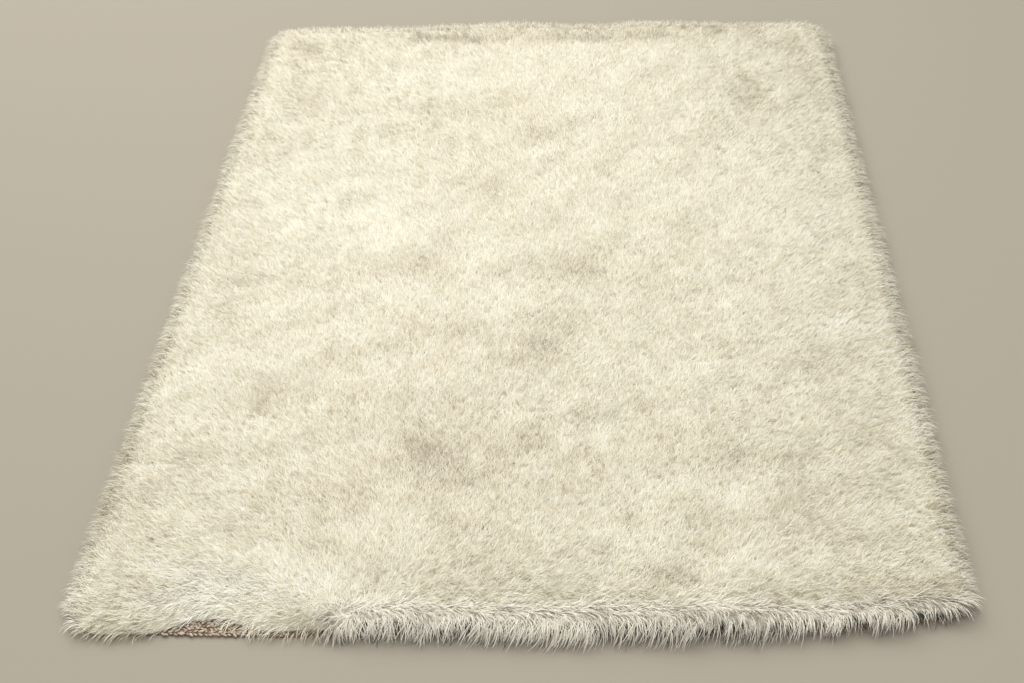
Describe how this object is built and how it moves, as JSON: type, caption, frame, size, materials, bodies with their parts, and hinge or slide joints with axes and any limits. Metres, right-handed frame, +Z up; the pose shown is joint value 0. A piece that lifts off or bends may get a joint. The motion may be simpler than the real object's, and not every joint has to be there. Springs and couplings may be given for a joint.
{
  "type": "shag rug",
  "caption": "Cream shag rug: a flat woven ground cloth under a deep, lumpy pile, with locks hanging over its rim and a strip of bare cloth at one end.",
  "frame": {"origin": "On the floor plane, at the middle of the footprint, fibre tips included", "axes": "+X across the rug, +Y along it from the near short edge to the far one, +Z up"},
  "size_m": [1.2042, 1.7136, 0.0482],
  "materials": {
    "ground_cloth": "coarse matt weave",
    "pile": "long soft strands with a silky sheen"
  },
  "bodies": {
    "root": {"ground_cloth": "ground_cloth", "pile": "pile"}
  },
  "joints": []
}
